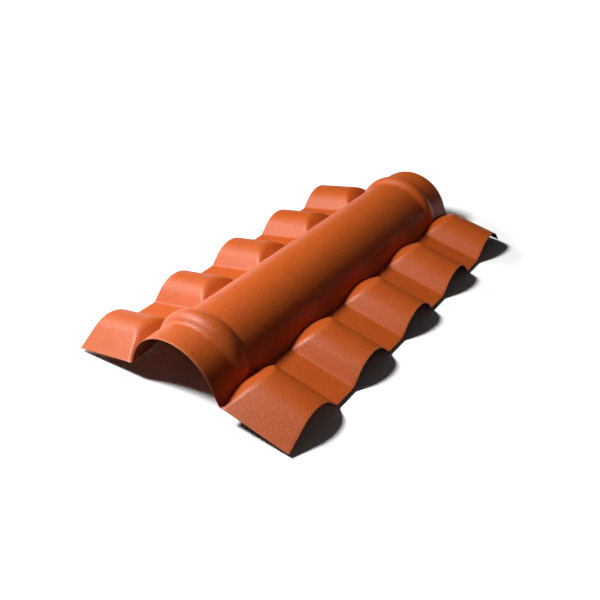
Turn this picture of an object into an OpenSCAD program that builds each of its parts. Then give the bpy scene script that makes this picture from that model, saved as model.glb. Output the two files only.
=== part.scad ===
// Ridge tile for a wavy roof: one thin moulded shell
// X runs along the ridge, Y across it, Z up
// The origin is the middle of the footprint, at the level the wings rest on
// All sizes are in millimetres

/* [Roof waves] */
// Distance from one roof wave to the next
pitch = 184; // [180:1:190]
// Number of roof waves in each wing
wave_count = 5; // [3:1:6]
// Width of one wave, from foot to foot
wave_width = 129.5; // [124:0.5:134]
// Height of a wave crest above the trough, square to the wing
wave_height = 37.8; // [36:0.2:40]
// Radius of the rounded wave crest
crest_radius = 66.5; // [60:0.5:68]
// Length of the flank at the near end that laps over the next tile
near_lap = 13; // [8:1:18]
// Flat lip past the last wave at the far end
far_lip = 1; // [1:0.5:5]

/* [Wings] */
// Width of the tile over both wings
tile_width = 484; // [470:2:500]
// Fall of each wing away from the ridge, in degrees
wing_slope = 11.3; // [10:0.1:13]
// Distance from the ridge line to the foot of the closed wave ends
wave_end_foot = 107; // [105:0.5:112]
// Steepness of the closed wave ends, in degrees
wave_end_slope = 45; // [42:1:52]

/* [Barrel] */
// Outer radius of the ridge barrel
barrel_radius = 96.5; // [94:0.5:99]
// Height of the barrel axis above the rest level
axis_height = 19.5; // [17:0.5:22]
// Outer radius of the open neck at the near end
near_neck_radius = 98; // [97:0.5:101]
// Radius of the hollow where the barrel runs out into the wings
foot_fillet = 30; // [24:1:36]

/* [Rings] */
// Outer radius of the near ring, which laps over the far ring of the next tile
near_ring_radius = 102; // [100:0.2:106]
// Radius of the near ring bead in section
near_ring_bead = 37; // [30:1:45]
// Distance from the first wave foot to the middle of the near ring
near_ring_position = 64; // [56:1:72]
// Outer radius of the far ring
far_ring_radius = 98.4; // [97:0.2:100]
// Radius of the far ring bead in section
far_ring_bead = 32; // [26:1:40]
// Distance from the last wave foot to the middle of the far ring
far_ring_position = 52; // [44:1:64]
// Height of both ring centres above the barrel axis, so that the rings fade at the wings
ring_rise = 10; // [6:0.5:13]

/* [Wall] */
// Wall thickness of the whole moulding
wall = 1.5; // [1.2:0.1:2.5]

/* [Hidden] */

$fn = 96;
// Sides of the long round surfaces
round_sides = 180;
// How far cutting bodies run past the solid they cut
over = 20;
// Depth of the solid bodies below the rest level before they are trimmed
under = 60;

tile_length = near_lap + (wave_count - 1) * pitch + wave_width + far_lip;
near_x = -tile_length / 2;
far_x = tile_length / 2;
half_width = tile_width / 2;
first_foot = near_x + near_lap;
// Height of the trough face at the outer edge and at the ridge line
edge_top = wall / cos(wing_slope);
ridge_top = edge_top + half_width * tan(wing_slope);
// Flank slope that runs from the crest arc to the wave foot
crest_drop = crest_radius - wave_height;
foot_reach = norm([wave_width / 2, crest_drop]);
flank_slope = asin(crest_radius / foot_reach) - atan(crest_drop / (wave_width / 2));
// Flank slope of the near lap, which reaches further out
lap_half = wave_width / 2 + near_lap;
lap_reach = norm([lap_half, crest_drop]);
lap_slope = asin(crest_radius / lap_reach) - atan(crest_drop / lap_half);
near_ring_x = first_foot + near_ring_position;
far_ring_x = first_foot + (wave_count - 1) * pitch + far_ring_position;
// Centre of the hollow at the barrel foot: it touches the barrel and the trough face
hollow_k = ridge_top + foot_fillet / cos(wing_slope) - axis_height;
hollow_reach = barrel_radius + foot_fillet;
slope_t = tan(wing_slope);
slope_q = 1 + slope_t * slope_t;
hollow_d = hollow_k * hollow_k * slope_t * slope_t
    - slope_q * (hollow_k * hollow_k - hollow_reach * hollow_reach);
hollow_y = (hollow_k * slope_t + sqrt(hollow_d)) / slope_q;
hollow_z = axis_height + hollow_k - slope_t * hollow_y;
// How far the hollow bites into both faces, so that they cross cleanly
bite = 0.02;
// Depth below both faces from which the hollow's filling starts
root = 0.5;
shell_colour = [0.80, 0.33, 0.13];

// Section of one wave, inset by the given amount, with its own near flank slope
module wave_section(inset, near_slope) {
    r = crest_radius - inset;
    near_x0 = -r * sin(near_slope);
    near_z0 = r * cos(near_slope);
    far_x0 = r * sin(flank_slope);
    far_z0 = r * cos(flank_slope);
    low = -crest_drop - under;
    translate([0, -crest_drop]) {
        circle(r = r);
        polygon([
            [near_x0, near_z0],
            [far_x0, far_z0],
            [far_x0 + (far_z0 - low) / tan(flank_slope), low],
            [near_x0 - (near_z0 - low) / tan(near_slope), low]
        ]);
    }
}

// One wave as a long body that falls with the wing, not yet trimmed
module wave_body(inset, near_slope) {
    translate([0, 0, ridge_top])
        rotate([-90 - wing_slope, 0, 0])
            mirror([0, 1, 0])
                linear_extrude(height = half_width + 2 * over)
                    wave_section(inset, near_slope);
}

// Side view of the room outside the closed wave ends, inset by the given amount
module wave_end_section(inset) {
    foot_z = ridge_top - wave_end_foot * tan(wing_slope);
    shift = inset / sin(wave_end_slope);
    top_z = ridge_top + wave_height + over;
    low_z = foot_z - under;
    polygon([
        [wave_end_foot + shift - under / tan(wave_end_slope), low_z],
        [half_width + 2 * over, low_z],
        [half_width + 2 * over, top_z],
        [wave_end_foot + shift + (top_z - foot_z) / tan(wave_end_slope), top_z]
    ]);
}

// All waves of one wing, closed at the ridge side
module wing_waves(inset) {
    intersection() {
        union() {
            for (i = [0 : wave_count - 1])
                translate([first_foot + i * pitch + wave_width / 2, 0, 0])
                    wave_body(inset, i == 0 ? lap_slope : flank_slope);
        }
        translate([near_x - 2 * over, 0, 0])
            rotate([90, 0, 90])
                linear_extrude(height = tile_length + 4 * over)
                    wave_end_section(inset);
    }
}

// Cross-section of both wings, falling away from the ridge
module wing_section(inset, extra) {
    drop = inset / cos(wing_slope);
    edge = half_width + extra;
    edge_z = edge_top - drop - extra * tan(wing_slope);
    polygon([
        [-edge, -under],
        [edge, -under],
        [edge, edge_z],
        [0, ridge_top - drop],
        [-edge, edge_z]
    ]);
}

// Filling between the barrel and one wing, hollowed out by a circle
module hollow_section(inset) {
    r = foot_fillet + inset;
    low_y = hollow_y - (r + root) * sin(wing_slope);
    low_z = hollow_z - (r + root) * cos(wing_slope);
    high_y = hollow_y * (1 - (r + root) / hollow_reach);
    high_z = hollow_z - (hollow_z - axis_height) * (r + root) / hollow_reach;
    difference() {
        polygon([
            [low_y, low_z],
            [high_y, high_z],
            [high_y - over, low_z - over]
        ]);
        translate([hollow_y, hollow_z])
            circle(r = r + bite);
    }
}

// Wings and barrel in one section, inset by the given amount
module ridge_section(inset, extra) {
    wing_section(inset, extra);
    translate([0, axis_height])
        circle(r = barrel_radius - inset);
    hollow_section(inset);
    mirror([1, 0])
        hollow_section(inset);
}

// Wings and barrel along the whole length
module ridge_body(inset, extra) {
    translate([near_x - extra, 0, 0])
        rotate([90, 0, 90])
            linear_extrude(height = tile_length + 2 * extra)
                ridge_section(inset, extra);
}

// The wider neck at the near end, up to the middle of its ring
module near_neck(inset, extra) {
    translate([near_x - extra, 0, axis_height])
        rotate([0, 90, 0])
            cylinder(h = near_ring_x - near_x + extra, r = near_neck_radius - inset, $fn = round_sides);
}

// A rounded ring around the ridge barrel
module ring_bead(at_x, outer, bead, inset) {
    translate([at_x, 0, axis_height + ring_rise])
        rotate([0, 90, 0])
            rotate_extrude($fn = round_sides)
                intersection() {
                    translate([outer - bead, 0])
                        circle(r = bead - inset);
                    translate([0, -bead])
                        square([outer, 2 * bead]);
                }
}

// The full shape, solid, inset by the given amount
module roof_solid(inset, extra) {
    ridge_body(inset, extra);
    wing_waves(inset);
    mirror([0, 1, 0])
        wing_waves(inset);
    near_neck(inset, extra);
    ring_bead(near_ring_x, near_ring_radius, near_ring_bead, inset);
    ring_bead(far_ring_x, far_ring_radius, far_ring_bead, inset);
}

module ridge_tile() {
    color(shell_colour)
        difference() {
            intersection() {
                roof_solid(0, 0);
                translate([near_x, -half_width, 0])
                    cube([tile_length, tile_width, axis_height + ring_rise + near_ring_radius + over]);
            }
            roof_solid(wall, over);
        }
}

ridge_tile();
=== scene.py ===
import math

import bpy
import numpy as np
from mathutils import Matrix, Vector


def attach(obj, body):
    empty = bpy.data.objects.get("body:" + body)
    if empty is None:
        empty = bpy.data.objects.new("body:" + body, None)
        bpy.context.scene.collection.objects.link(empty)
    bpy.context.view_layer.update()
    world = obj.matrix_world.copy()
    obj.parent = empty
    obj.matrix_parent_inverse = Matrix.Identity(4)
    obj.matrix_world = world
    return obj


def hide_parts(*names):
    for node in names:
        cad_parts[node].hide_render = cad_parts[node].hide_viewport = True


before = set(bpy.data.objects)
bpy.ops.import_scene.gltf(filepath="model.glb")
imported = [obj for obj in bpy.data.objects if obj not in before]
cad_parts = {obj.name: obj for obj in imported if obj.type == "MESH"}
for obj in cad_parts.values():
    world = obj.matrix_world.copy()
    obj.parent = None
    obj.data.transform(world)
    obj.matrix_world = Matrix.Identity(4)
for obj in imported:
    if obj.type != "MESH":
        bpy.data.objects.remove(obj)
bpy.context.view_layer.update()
scene = bpy.context.scene

# Driving sizes in millimetres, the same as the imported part's
PITCH = 184.0
WAVES = 5
WAVE_WIDTH = 129.5
WAVE_HEIGHT = 37.8
CREST_RADIUS = 66.5
NEAR_LAP = 13.0
FAR_LIP = 1.0
HALF_WIDTH = 242.0
SLOPE = math.radians(11.3)
END_FOOT = 107.0
AXIS_Z = 19.5
BARREL_R = 96.5
NEAR_NECK_R = 98.0
NEAR_RING_R = 102.0
FAR_RING_R = 98.4
FAR_RING_AT = 52.0
RING_RISE = 10.0
WALL = 1.5

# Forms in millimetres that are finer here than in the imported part
# The rings' sections, and the near ring's distance from the first wave foot
NEAR_BEAD = 25.0
FAR_BEAD = 22.0
NEAR_RING_AT = 66.0
# Length over which the near neck narrows to the barrel
NECK_STEP = 16.0
# Below this angle over the horizontal the barrel runs down straight
SKIRT = math.radians(23.0)
# The closed wave ends bulge towards the barrel with this radius in plan
END_BULGE = 110.0
# How far an end leans back for each millimetre of height over the wing
END_LEAN = 0.79
# Edge radius of a wave end at its foot, and what the crest has more
END_EDGE = 2.5
END_EDGE_GROWTH = 4.0
# Fillets along the barrel's foot, around the rings and along the feet of the wave ends
FOOT_FILLET = 4.0
RING_FILLET = 5.0
END_FOOT_BLEND = 3.0

# Places in millimetres that follow from the sizes above
LENGTH = NEAR_LAP + (WAVES - 1) * PITCH + WAVE_WIDTH + FAR_LIP
NEAR_X = -LENGTH / 2
FAR_X = LENGTH / 2
FIRST_FOOT = NEAR_X + NEAR_LAP
LAST_FOOT = FIRST_FOOT + (WAVES - 1) * PITCH
NEAR_RING_X = FIRST_FOOT + NEAR_RING_AT
FAR_RING_X = LAST_FOOT + FAR_RING_AT
EDGE_TOP = WALL / math.cos(SLOPE)
RIDGE_TOP = EDGE_TOP + HALF_WIDTH * math.tan(SLOPE)
# Place, outer radius and section radius of each ring
RINGS = (
    (NEAR_RING_X, NEAR_RING_R, NEAR_BEAD),
    (FAR_RING_X, FAR_RING_R, FAR_BEAD),
)

# Shares that bring the wave fields near true distance, so that fillets keep their size
PRISM_SHARE = 0.9
END_SHARE = 0.68
# Level that stands for no wave, below every wing
NO_WAVE = -40.0

# The search for the outer face: its lowest and highest level and the number of halvings
SEARCH_LOW = -20.0
SEARCH_HIGH = 160.0
HALVINGS = 36
# Step in millimetres for the normals
NORMAL_STEP = 0.05

# Mesh spacing in millimetres: the plain step, then finer steps with their places and reach
PLAIN_STEP_ALONG = 6.5
FLANK_STEP = 2.0
FLANK_REACH = 6.0
CREST_STEP = 11.0
CREST_REACH = 45.0
RING_STEP = 4.5
NEAR_RING_REACH = 44.0
FAR_RING_REACH = 36.0
PLAIN_STEP_ACROSS = 5.5
VALLEY_STEP = 1.5
VALLEY_AT = 101.0
VALLEY_REACH = 14.0
WAVE_END_STEP = 5.0
WAVE_END_AT = 132.0
WAVE_END_REACH = 16.0
# The barrel's steepness tightens the lines up to this place and this slope
STEEP_UNTIL = 91.0
STEEPEST = 3.2
# Least squared height of the barrel over its axis in that slope
LEAST_RISE = 60.0
DENSITY_SAMPLES = 8001
# Flat strips from the outer face round the rim to the inner face
RIM_STRIPS = 5
MM_PER_METRE = 1000.0

# Noise patterns of the plastic: scale, detail and roughness
GRAIN = (370.0, 2.0, 0.5)
MOTTLE = (28.0, 3.0, 0.55)
PATCHES = (6.0, 2.0, 0.5)
# The range in which nearly all of a noise pattern lies
NOISE_LOW = 0.3
NOISE_HIGH = 0.7
GRAIN_DEPTH = 0.00055
DEEP_TINT = (0.63, 0.112, 0.0115, 1)
LIGHT_TINT = (0.67, 0.124, 0.0145, 1)
# Shade and strength of the dark specks of the sand grain
DARK_SPECK = (0.36, 0.050, 0.005, 1)
SPECK = 0.55
# Colour and strength of the paler convex edges, partly wear and partly a painted
# highlight, and the pointiness where they start and are full
EDGE_WEAR_AND_HIGHLIGHT_TINT = (0.80, 0.27, 0.11, 1)
EDGE_WEAR_AND_HIGHLIGHT = 0.7
EDGE_WEAR_AND_HIGHLIGHT_FROM = 0.51
EDGE_WEAR_AND_HIGHLIGHT_FULL = 0.56
PLASTIC_IOR = 1.47
LEAST_ROUGHNESS = 0.44
MOST_ROUGHNESS = 0.51

# The floor's colour in reflections, to the camera and for diffuse light
FLOOR_WHITE = (1.0, 1.0, 1.0, 1)
FLOOR_SEEN = (1.5, 1.5, 1.5, 1)
FLOOR_BOUNCE = (0.04, 0.04, 0.04, 1)
# The wings of the photographed tile clear the floor by a few millimetres
FLOOR_Z = -0.005
FLOOR_SIZE = 40
# Half-axes in metres of the oval around the tile's shadow
OVAL_X = 0.62
OVAL_Y = 0.42
# Where the floor's own white starts and is full, in such ovals
WHITE_FROM = 0.95
WHITE_FULL = 1.6

# Strength of the even surroundings
AMBIENT = 0.02
# Lamps: aim, place, strength in watts and diameter in metres
TILE_MIDDLE = Vector((0.0, 0.0, 0.05))
KEY_PITCHES = (-2.15, 5.65, 8.70)
KEY_WATTS = 50.0
KEY_SIZE = 0.46
FILL_PLACE = Vector((-0.2, 2.05, 1.1))
FILL_WATTS = 13.0
FILL_SIZE = 0.9

# The photograph's camera, fitted to the wave feet, the crests and the barrel
CAMERA_PITCHES = (-3.56759, -3.81433, 4.36664)
CAMERA_YAW = -0.97018
CAMERA_PITCH = 0.57493
CAMERA_ROLL = 0.00741
FOCAL_PIXELS = 702.8245
PHOTO_PIXELS = 600.0
SENSOR_WIDTH = 36.0
CLIP_NEAR = 0.05
CLIP_FAR = 50


def smooth_min(a, b, k):
    """Union of two distance fields with a soft blend of width k."""
    return np.minimum(a, b) - np.maximum(k - np.abs(a - b), 0.0) ** 2 / (4.0 * k)


def round_join(a, b, r):
    """Union of two distance fields with a hollow fillet of radius r."""
    u = np.maximum(r - a, 0.0)
    v = np.maximum(r - b, 0.0)
    return np.maximum(r, np.minimum(a, b)) - np.hypot(u, v)


def round_cut(a, b, r):
    """Intersection of two distance fields with an edge rounded to radius r."""
    u = np.maximum(r + a, 0.0)
    v = np.maximum(r + b, 0.0)
    return np.minimum(-r, np.maximum(a, b)) + np.hypot(u, v)


def flank_angle(half):
    """Slope of the straight flank that runs from the crest arc to the foot."""
    drop = CREST_RADIUS - WAVE_HEIGHT
    return math.asin(CREST_RADIUS / math.hypot(half, drop)) - math.atan(drop / half)


def wave_profile(x):
    """Height of the waves square to the wing at station x."""
    out = np.full_like(x, NO_WAVE)
    half = WAVE_WIDTH / 2
    for k in range(WAVES):
        s = x - (FIRST_FOOT + k * PITCH + half)
        d = np.abs(s)
        near = half + NEAR_LAP if k == 0 else half
        for sign, reach in ((-1, near), (1, half)):
            a = flank_angle(reach)
            arc = CREST_RADIUS * math.sin(a)
            rise = np.sqrt(CREST_RADIUS**2 - np.minimum(d, arc) ** 2)
            top = WAVE_HEIGHT - CREST_RADIUS + rise
            h = top - np.maximum(d - arc, 0) * math.tan(a)
            out = np.where((s * sign >= 0) & (h > out), h, out)
    return out


def wave_half_width(h):
    """Half the width of a wave at height h over the wing."""
    a = flank_angle(WAVE_WIDTH / 2)
    arc_end = CREST_RADIUS * math.sin(a)
    arc_low = WAVE_HEIGHT - CREST_RADIUS * (1 - math.cos(a))
    inside = np.clip((WAVE_HEIGHT - h) * (2 * CREST_RADIUS - WAVE_HEIGHT + h), 0, None)
    return np.where(h > arc_low, np.sqrt(inside), arc_end + (arc_low - h) / math.tan(a))


def wave_end(x, y, h):
    """Field of the domed faces that close the waves: positive towards the barrel."""
    nearest = np.clip(np.round((x - FIRST_FOOT - WAVE_WIDTH / 2) / PITCH), 0, WAVES - 1)
    s = x - (FIRST_FOOT + nearest * PITCH + WAVE_WIDTH / 2)
    h = np.clip(h, 0, WAVE_HEIGHT)
    bulge = np.maximum(wave_half_width(h) ** 2 - s**2, 0) / (2 * END_BULGE)
    return (END_FOOT + h * END_LEAN - bulge - y) * END_SHARE


def closed_waves(x, y, trough):
    """The waves over the wing, closed towards the barrel with a rounded edge."""
    wave = wave_profile(x)
    up = np.clip(wave / WAVE_HEIGHT, 0, 1)
    edge = END_EDGE + END_EDGE_GROWTH * up**3
    return round_cut((trough - wave) * PRISM_SHARE, wave_end(x, y, trough), edge)


def barrel_field(x, y, z):
    """The barrel with its wider near neck and its straight skirt."""
    t = np.clip((NEAR_RING_X - x) / NECK_STEP + 0.5, 0, 1)
    radius = BARREL_R + (NEAR_NECK_R - BARREL_R) * t * t * (3 - 2 * t)
    lean = np.maximum(np.arctan2(z - AXIS_Z, y), SKIRT)
    return y * np.cos(lean) + (z - AXIS_Z) * np.sin(lean) - radius


def surface_field(x, y, z):
    """Distance-like field of the solid roof shape: negative inside."""
    trough = (z - RIDGE_TOP + y * math.tan(SLOPE)) * math.cos(SLOPE)
    body = round_join(barrel_field(x, y, z), trough, FOOT_FILLET)
    rho = np.hypot(y, z - AXIS_Z - RING_RISE)
    for at, outer, bead in RINGS:
        ring = np.hypot(rho - (outer - bead), x - at) - bead
        body = round_join(body, ring, RING_FILLET)
    return smooth_min(body, closed_waves(x, y, trough), END_FOOT_BLEND)


def top_face(x, y):
    """Height of the outer face over every point of the grid."""
    lo = np.full_like(x, SEARCH_LOW)
    hi = np.full_like(x, SEARCH_HIGH)
    for _ in range(HALVINGS):
        mid = (lo + hi) / 2
        inside = surface_field(x, y, mid) < 0
        lo = np.where(inside, mid, lo)
        hi = np.where(inside, hi, mid)
    return (lo + hi) / 2


def face_normals(x, y, z):
    """Unit normals of the outer face, level across the ridge line."""
    step = NORMAL_STEP
    fx = surface_field(x + step, y, z) - surface_field(x - step, y, z)
    fy = surface_field(x, y + step, z) - surface_field(x, y - step, z)
    fz = surface_field(x, y, z + step) - surface_field(x, y, z - step)
    normals = np.stack([fx, fy, fz], 2)
    normals /= np.linalg.norm(normals, axis=2, keepdims=True)
    normals[:, 0, 1] = 0.0
    normals[:, 0] /= np.linalg.norm(normals[:, 0], axis=1, keepdims=True)
    return normals


def spaced(lo, hi, density):
    """Positions between lo and hi, as close together as the density asks."""
    t = np.linspace(lo, hi, DENSITY_SAMPLES)
    d = density(t)
    cum = np.concatenate([[0], np.cumsum((d[1:] + d[:-1]) / 2 * np.diff(t))])
    return np.interp(np.linspace(0, cum[-1], int(cum[-1]) + 1), cum, t)


def denser(t, at, step, reach, power):
    """Extra mesh lines per millimetre around one place."""
    return (1 / step) * np.exp(-(((t - at) / reach) ** power))


def along(t):
    """Mesh lines per millimetre along the ridge."""
    d = np.full_like(t, 1 / PLAIN_STEP_ALONG)
    for k in range(WAVES):
        foot = FIRST_FOOT + k * PITCH
        d += denser(t, foot, FLANK_STEP, FLANK_REACH, 2)
        d += denser(t, foot + WAVE_WIDTH, FLANK_STEP, FLANK_REACH, 2)
        d += denser(t, foot + WAVE_WIDTH / 2, CREST_STEP, CREST_REACH, 2)
    d += denser(t, NEAR_RING_X, RING_STEP, NEAR_RING_REACH, 6)
    d += denser(t, FAR_RING_X, RING_STEP, FAR_RING_REACH, 6)
    return d


def across(t):
    """Mesh lines per millimetre from the ridge line to the edge of a wing."""
    rise = np.sqrt(np.maximum(BARREL_R**2 - t**2, LEAST_RISE))
    slope = np.where(t < STEEP_UNTIL, t / rise, 0.0)
    d = np.hypot(1.0, np.minimum(slope, STEEPEST)) / PLAIN_STEP_ACROSS
    d += denser(t, VALLEY_AT, VALLEY_STEP, VALLEY_REACH, 4)
    d += denser(t, WAVE_END_AT, WAVE_END_STEP, WAVE_END_REACH, 4)
    return d


def outer_face():
    """Points and normals of the outer face, row by row along the ridge."""
    half_wall = WALL / 2
    xs = spaced(NEAR_X + half_wall, FAR_X - half_wall, along)
    ys = spaced(0.0, HALF_WIDTH - half_wall * math.cos(SLOPE), across)
    gx, gy = np.meshgrid(xs, ys, indexing="ij")
    gz = top_face(gx, gy)
    points = np.stack([gx, gy, gz], 2)
    normals = face_normals(gx, gy, gz)
    flip = np.array([1.0, -1.0, 1.0])
    points = np.concatenate([(points * flip)[:, :0:-1], points], 1)
    normals = np.concatenate([(normals * flip)[:, :0:-1], normals], 1)
    return points, normals


def grid_faces(rows, columns):
    """Four-sided faces of a grid of points, seen from above."""
    i, j = np.meshgrid(np.arange(rows - 1), np.arange(columns - 1), indexing="ij")
    a = (i * columns + j).ravel()
    return np.stack([a, a + columns, a + columns + 1, a + 1], 1)


def edge_loop(rows, columns):
    """Row and column of each point round the four edges of the grid."""
    loop = [(i, 0) for i in range(rows)]
    loop += [(rows - 1, j) for j in range(1, columns)]
    loop += [(i, columns - 1) for i in range(rows - 2, -1, -1)]
    loop += [(0, j) for j in range(columns - 2, 0, -1)]
    return np.array(loop)


def edge_outward(loop, rows, columns, normals):
    """Unit directions that leave the shell along its face, round its edges."""
    out = np.zeros_like(normals)
    out[loop[:, 0] == 0] += (-1.0, 0.0, 0.0)
    out[loop[:, 0] == rows - 1] += (1.0, 0.0, 0.0)
    out[loop[:, 1] == 0] += (0.0, -1.0, 0.0)
    out[loop[:, 1] == columns - 1] += (0.0, 1.0, 0.0)
    out -= np.sum(out * normals, 1, keepdims=True) * normals
    return out / np.linalg.norm(out, axis=1, keepdims=True)


def build_shell():
    """One closed thin shell in metres: outer face, inner face and a rounded rim."""
    points, normals = outer_face()
    rows, columns = points.shape[:2]
    count = rows * columns
    verts = [points.reshape(-1, 3), (points - WALL * normals).reshape(-1, 3)]
    quads = grid_faces(rows, columns)
    faces = [quads, quads[:, ::-1] + count]
    loop = edge_loop(rows, columns)
    up = normals[loop[:, 0], loop[:, 1]]
    out = edge_outward(loop, rows, columns, up)
    centre = points[loop[:, 0], loop[:, 1]] - WALL / 2 * up
    first = loop[:, 0] * columns + loop[:, 1]
    rings = [first]
    at = 2 * count
    for k in range(1, RIM_STRIPS):
        turn = math.pi * k / RIM_STRIPS
        verts.append(centre + WALL / 2 * (math.cos(turn) * up + math.sin(turn) * out))
        rings.append(np.arange(at, at + len(loop)))
        at += len(loop)
    rings.append(first + count)
    for u, v in zip(rings[:-1], rings[1:]):
        faces.append(np.stack([u, np.roll(u, -1), np.roll(v, -1), v], 1)[:, ::-1])
    return np.concatenate(verts) / MM_PER_METRE, np.concatenate(faces)


def make_mesh(name, verts, faces):
    """A smooth mesh object in the scene."""
    mesh = bpy.data.meshes.new(name)
    mesh.from_pydata(verts.tolist(), [], faces.tolist())
    mesh.update()
    mesh.polygons.foreach_set("use_smooth", [True] * len(mesh.polygons))
    obj = bpy.data.objects.new(name, mesh)
    scene.collection.objects.link(obj)
    return obj


def texture_noise(nt, where, pattern):
    """One of the noise patterns above."""
    node = nt.nodes.new("ShaderNodeTexNoise")
    for name, value in zip(("Scale", "Detail", "Roughness"), pattern):
        node.inputs[name].default_value = value
    nt.links.new(where, node.inputs["Vector"])
    return node.outputs["Fac"]


def remap(nt, value, low, high, out_low, out_high):
    """The value carried from one range to another and held within it."""
    node = nt.nodes.new("ShaderNodeMapRange")
    node.inputs["From Min"].default_value = low
    node.inputs["From Max"].default_value = high
    node.inputs["To Min"].default_value = out_low
    node.inputs["To Max"].default_value = out_high
    nt.links.new(value, node.inputs["Value"])
    return node.outputs["Result"]


def noise_between(nt, noise, out_low, out_high):
    """A noise pattern carried to a range of its own."""
    return remap(nt, noise, NOISE_LOW, NOISE_HIGH, out_low, out_high)


def calculate(nt, operation, first, second):
    """One step of arithmetic on two node outputs."""
    node = nt.nodes.new("ShaderNodeMath")
    node.operation = operation
    nt.links.new(first, node.inputs[0])
    nt.links.new(second, node.inputs[1])
    return node.outputs[0]


def blend_colour(nt, amount, first, second):
    """A mix of two colours, each given as a plain colour or a node output."""
    node = nt.nodes.new("ShaderNodeMix")
    node.data_type = "RGBA"
    nt.links.new(amount, node.inputs["Factor"])
    for socket, value in ((node.inputs["A"], first), (node.inputs["B"], second)):
        if isinstance(value, tuple):
            socket.default_value = value
        else:
            nt.links.new(value, socket)
    return node.outputs["Result"]


def raised(nt, height, depth):
    """Normals of a face with fine relief."""
    node = nt.nodes.new("ShaderNodeBump")
    node.inputs["Strength"].default_value = 1.0
    node.inputs["Distance"].default_value = depth
    nt.links.new(height, node.inputs["Height"])
    return node.outputs["Normal"]


def shell_material():
    """Through-coloured terracotta plastic with a fine moulded sand grain."""
    mat = bpy.data.materials.new("terracotta_plastic")
    mat.use_nodes = True
    nt = mat.node_tree
    bsdf = nt.nodes["Principled BSDF"]
    place = nt.nodes.new("ShaderNodeTexCoord").outputs["Object"]
    grain = texture_noise(nt, place, GRAIN)
    mottle = texture_noise(nt, place, MOTTLE)
    patches = texture_noise(nt, place, PATCHES)
    tint = blend_colour(nt, noise_between(nt, mottle, 0.0, 1.0), DEEP_TINT, LIGHT_TINT)
    speck = blend_colour(nt, noise_between(nt, grain, 0.0, SPECK), tint, DARK_SPECK)
    # Paler tint on convex edges: partly wear, partly a painted highlight along the edges
    # and rims
    edge = nt.nodes.new("ShaderNodeNewGeometry").outputs["Pointiness"]
    edge_wear_and_highlight = remap(nt, edge, EDGE_WEAR_AND_HIGHLIGHT_FROM, EDGE_WEAR_AND_HIGHLIGHT_FULL, 0.0, EDGE_WEAR_AND_HIGHLIGHT)
    roughness = noise_between(nt, patches, LEAST_ROUGHNESS, MOST_ROUGHNESS)
    bsdf.inputs["IOR"].default_value = PLASTIC_IOR
    nt.links.new(blend_colour(nt, edge_wear_and_highlight, speck, EDGE_WEAR_AND_HIGHLIGHT_TINT), bsdf.inputs["Base Color"])
    nt.links.new(roughness, bsdf.inputs["Roughness"])
    nt.links.new(raised(nt, grain, GRAIN_DEPTH), bsdf.inputs["Normal"])
    return mat


def seen_directly(nt):
    """1 for the camera and for what mirrors or glass show, 0 for diffuse light."""
    path = nt.nodes.new("ShaderNodeLightPath")
    total = path.outputs["Is Camera Ray"]
    for name in ("Is Glossy Ray", "Is Transmission Ray"):
        total = calculate(nt, "MAXIMUM", total, path.outputs[name])
    return total


def ovals_away(nt):
    """Distance from the tile's middle, counted in ovals around its shadow."""
    place = nt.nodes.new("ShaderNodeTexCoord").outputs["Object"]
    oval = nt.nodes.new("ShaderNodeVectorMath")
    oval.operation = "MULTIPLY"
    oval.inputs[1].default_value = (1 / OVAL_X, 1 / OVAL_Y, 0.0)
    nt.links.new(place, oval.inputs[0])
    away = nt.nodes.new("ShaderNodeVectorMath")
    away.operation = "LENGTH"
    nt.links.new(oval.outputs[0], away.inputs[0])
    return away.outputs["Value"]


def floor_material():
    """Matt floor, white to the eye, that stays white where the lamp falls off."""
    mat = bpy.data.materials.new("floor_white")
    mat.use_nodes = True
    nt = mat.node_tree
    bsdf = nt.nodes["Principled BSDF"]
    bsdf.inputs["Roughness"].default_value = 1.0
    bsdf.inputs["Specular IOR Level"].default_value = 0.0
    seen = seen_directly(nt)
    white = blend_colour(nt, seen, FLOOR_BOUNCE, FLOOR_WHITE)
    camera_ray = nt.nodes.new("ShaderNodeLightPath").outputs["Is Camera Ray"]
    colour = blend_colour(nt, camera_ray, white, FLOOR_SEEN)
    nt.links.new(colour, bsdf.inputs["Base Color"])
    glow = remap(nt, ovals_away(nt), WHITE_FROM, WHITE_FULL, 0.0, 1.0)
    strength = calculate(nt, "MULTIPLY", glow, seen)
    bsdf.inputs["Emission Color"].default_value = FLOOR_WHITE
    nt.links.new(strength, bsdf.inputs["Emission Strength"])
    return mat


def make_floor():
    """The floor that the tile lies on."""
    bpy.ops.mesh.primitive_plane_add(size=FLOOR_SIZE, location=(0, 0, FLOOR_Z))
    obj = bpy.context.object
    obj.name = "floor"
    obj.data.materials.append(floor_material())
    return obj


def studio_world():
    """Dim even surroundings."""
    world = bpy.data.worlds.new("studio")
    world.use_nodes = True
    dim = world.node_tree.nodes["Background"]
    dim.inputs["Color"].default_value = (1, 1, 1, 1)
    dim.inputs["Strength"].default_value = AMBIENT
    return world


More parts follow.
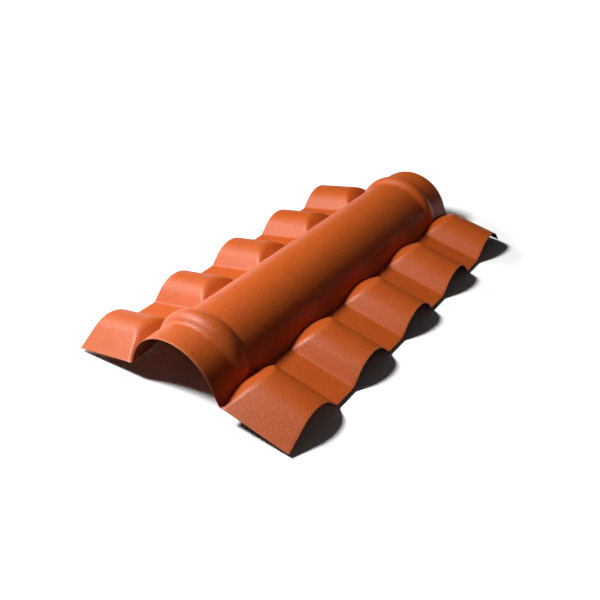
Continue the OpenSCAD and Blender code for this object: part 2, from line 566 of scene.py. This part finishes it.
def photo_frame(px, py, pz):
    """A place measured in wave pitches from the first foot, in metres."""
    return Vector((px * PITCH + FIRST_FOOT, py * PITCH, pz * PITCH)) / MM_PER_METRE


def round_lamp(name, place, watts, size):
    """A round area lamp aimed at the tile."""
    lamp = bpy.data.lights.new(name, "AREA")
    lamp.shape = "DISK"
    lamp.size = size
    lamp.energy = watts
    obj = bpy.data.objects.new(name, lamp)
    scene.collection.objects.link(obj)
    obj.location = place
    obj.rotation_euler = (place - TILE_MIDDLE).to_track_quat("Z", "Y").to_euler()


def photo_camera():
    """The photograph's camera."""
    cam = bpy.data.cameras.new("camera")
    cam.sensor_width = SENSOR_WIDTH
    cam.lens = SENSOR_WIDTH * FOCAL_PIXELS / PHOTO_PIXELS
    cam.clip_start = CLIP_NEAR
    cam.clip_end = CLIP_FAR
    obj = bpy.data.objects.new("camera", cam)
    scene.collection.objects.link(obj)
    ahead_x = -math.sin(CAMERA_YAW) * math.cos(CAMERA_PITCH)
    ahead_y = math.cos(CAMERA_YAW) * math.cos(CAMERA_PITCH)
    ahead = Vector((ahead_x, ahead_y, -math.sin(CAMERA_PITCH)))
    level = Vector((math.cos(CAMERA_YAW), math.sin(CAMERA_YAW), 0.0))
    rise = level.cross(ahead)
    right = math.cos(CAMERA_ROLL) * level + math.sin(CAMERA_ROLL) * rise
    up = math.cos(CAMERA_ROLL) * rise - math.sin(CAMERA_ROLL) * level
    turn = Matrix((right, up, -ahead)).transposed().to_4x4()
    obj.matrix_world = Matrix.Translation(photo_frame(*CAMERA_PITCHES)) @ turn
    return obj


# The tile
verts, faces = build_shell()
shell = make_mesh("ridge_tile_shell", verts, faces)
shell.data.materials.append(shell_material())
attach(shell, "root")
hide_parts("ridge_tile")

# Floor, surroundings, light and camera
floor = make_floor()
scene.world = studio_world()
round_lamp("key", photo_frame(*KEY_PITCHES), KEY_WATTS, KEY_SIZE)
round_lamp("fill", FILL_PLACE, FILL_WATTS, FILL_SIZE)
scene.camera = photo_camera()
scene.view_settings.view_transform = "Standard"
